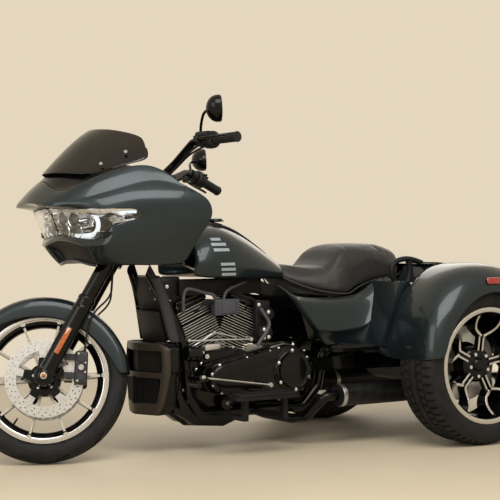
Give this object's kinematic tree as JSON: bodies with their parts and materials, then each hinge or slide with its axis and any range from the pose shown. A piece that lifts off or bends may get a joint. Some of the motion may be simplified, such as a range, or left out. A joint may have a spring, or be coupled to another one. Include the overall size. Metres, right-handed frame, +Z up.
{
  "type": "motorized trike",
  "caption": "Touring trike with a steered front wheel under a frame-mounted fairing, a V-twin engine, a two-up seat and a rear boot body between two driven wheels.",
  "frame": {"origin": "on the floor, under the middle of the outline as parked, with the bars turned right", "axes": "+X forward, +Y to the rider's left, +Z up"},
  "size_m": [2.6406, 1.39, 1.4015],
  "materials": {
    "black_gloss": "gloss",
    "black_plastic": "matte",
    "black_satin": "satin",
    "body_paint": "gloss",
    "clear_lens": "gloss",
    "engine_black": "satin",
    "grip_rubber": "matte",
    "red_lens": "gloss",
    "screen_smoke": "gloss",
    "seat_leather": "matte",
    "steel": "brushed",
    "tyre": "matte"
  },
  "bodies": {
    "chassis": {"frame": "black_gloss", "engine_case": "engine_black", "front_cylinder": "engine_black", "rear_cylinder": "engine_black", "primary_cover": "black_gloss", "gearbox": "engine_black", "air_cleaner": "black_gloss", "exhaust_pipes": "black_satin", "mufflers": "black_satin", "radiator_cowl": "black_plastic", "fuel_tank": "body_paint", "seat": "seat_leather", "side_covers": "body_paint", "rear_body": "body_paint", "rear_fender_left": "body_paint", "rear_fender_right": "body_paint", "rear_axle": "black_satin", "swingarm": "black_satin", "fairing_shell": "body_paint", "headlamp_lens": "clear_lens", "headlamp_housing": "black_plastic", "inner_fairing": "black_plastic", "fairing_bracket": "black_satin", "windscreen": "screen_smoke", "footboards": "black_satin", "passenger_boards": "black_satin", "grab_handles": "black_plastic", "tail_lamps": "red_lens"},
    "front_end": {"front_axle": "steel", "fork_legs": "black_gloss", "triple_clamps": "black_gloss", "front_fender": "body_paint", "brake_calipers": "black_satin", "handlebar": "black_gloss", "grips": "grip_rubber", "mirrors": "black_plastic"},
    "front_wheel": {"front_tyre": "tyre", "front_rim": "black_gloss", "front_discs": "steel"},
    "rear_wheel_left": {"rear_rim_left": "black_gloss", "rear_tyre_left": "tyre"},
    "rear_wheel_right": {"rear_rim_right": "black_gloss", "rear_tyre_right": "tyre"},
    "boot_door": {"trunk_door": "body_paint"}
  },
  "joints": [
    {"name": "steering", "type": "hinge", "parent": "chassis", "child": "front_end", "pos_m": [0.73617, 0, 0.80892], "axis": [-0.4384, 0, 0.8988], "range_deg": [-3.7, 60.3]},
    {"name": "front_wheel_spin", "type": "hinge", "parent": "front_end", "child": "front_wheel", "pos_m": [1.02547, -0.02306, 0.31346], "axis": [0.4261, 0.8805, 0.2078], "continuous": true},
    {"name": "rear_wheel_left_spin", "type": "hinge", "parent": "chassis", "child": "rear_wheel_left", "pos_m": [-0.6393, 0.56, 0.325], "axis": [0, 1, 0], "continuous": true},
    {"name": "rear_wheel_right_spin", "type": "hinge", "parent": "chassis", "child": "rear_wheel_right", "pos_m": [-0.6393, -0.56, 0.325], "axis": [0, 1, 0], "continuous": true},
    {"name": "boot_door_hinge", "type": "hinge", "parent": "chassis", "child": "boot_door", "pos_m": [-1.3043, 0, 0.403], "axis": [0, -1, 0], "range_deg": [0, 85]}
  ]
}
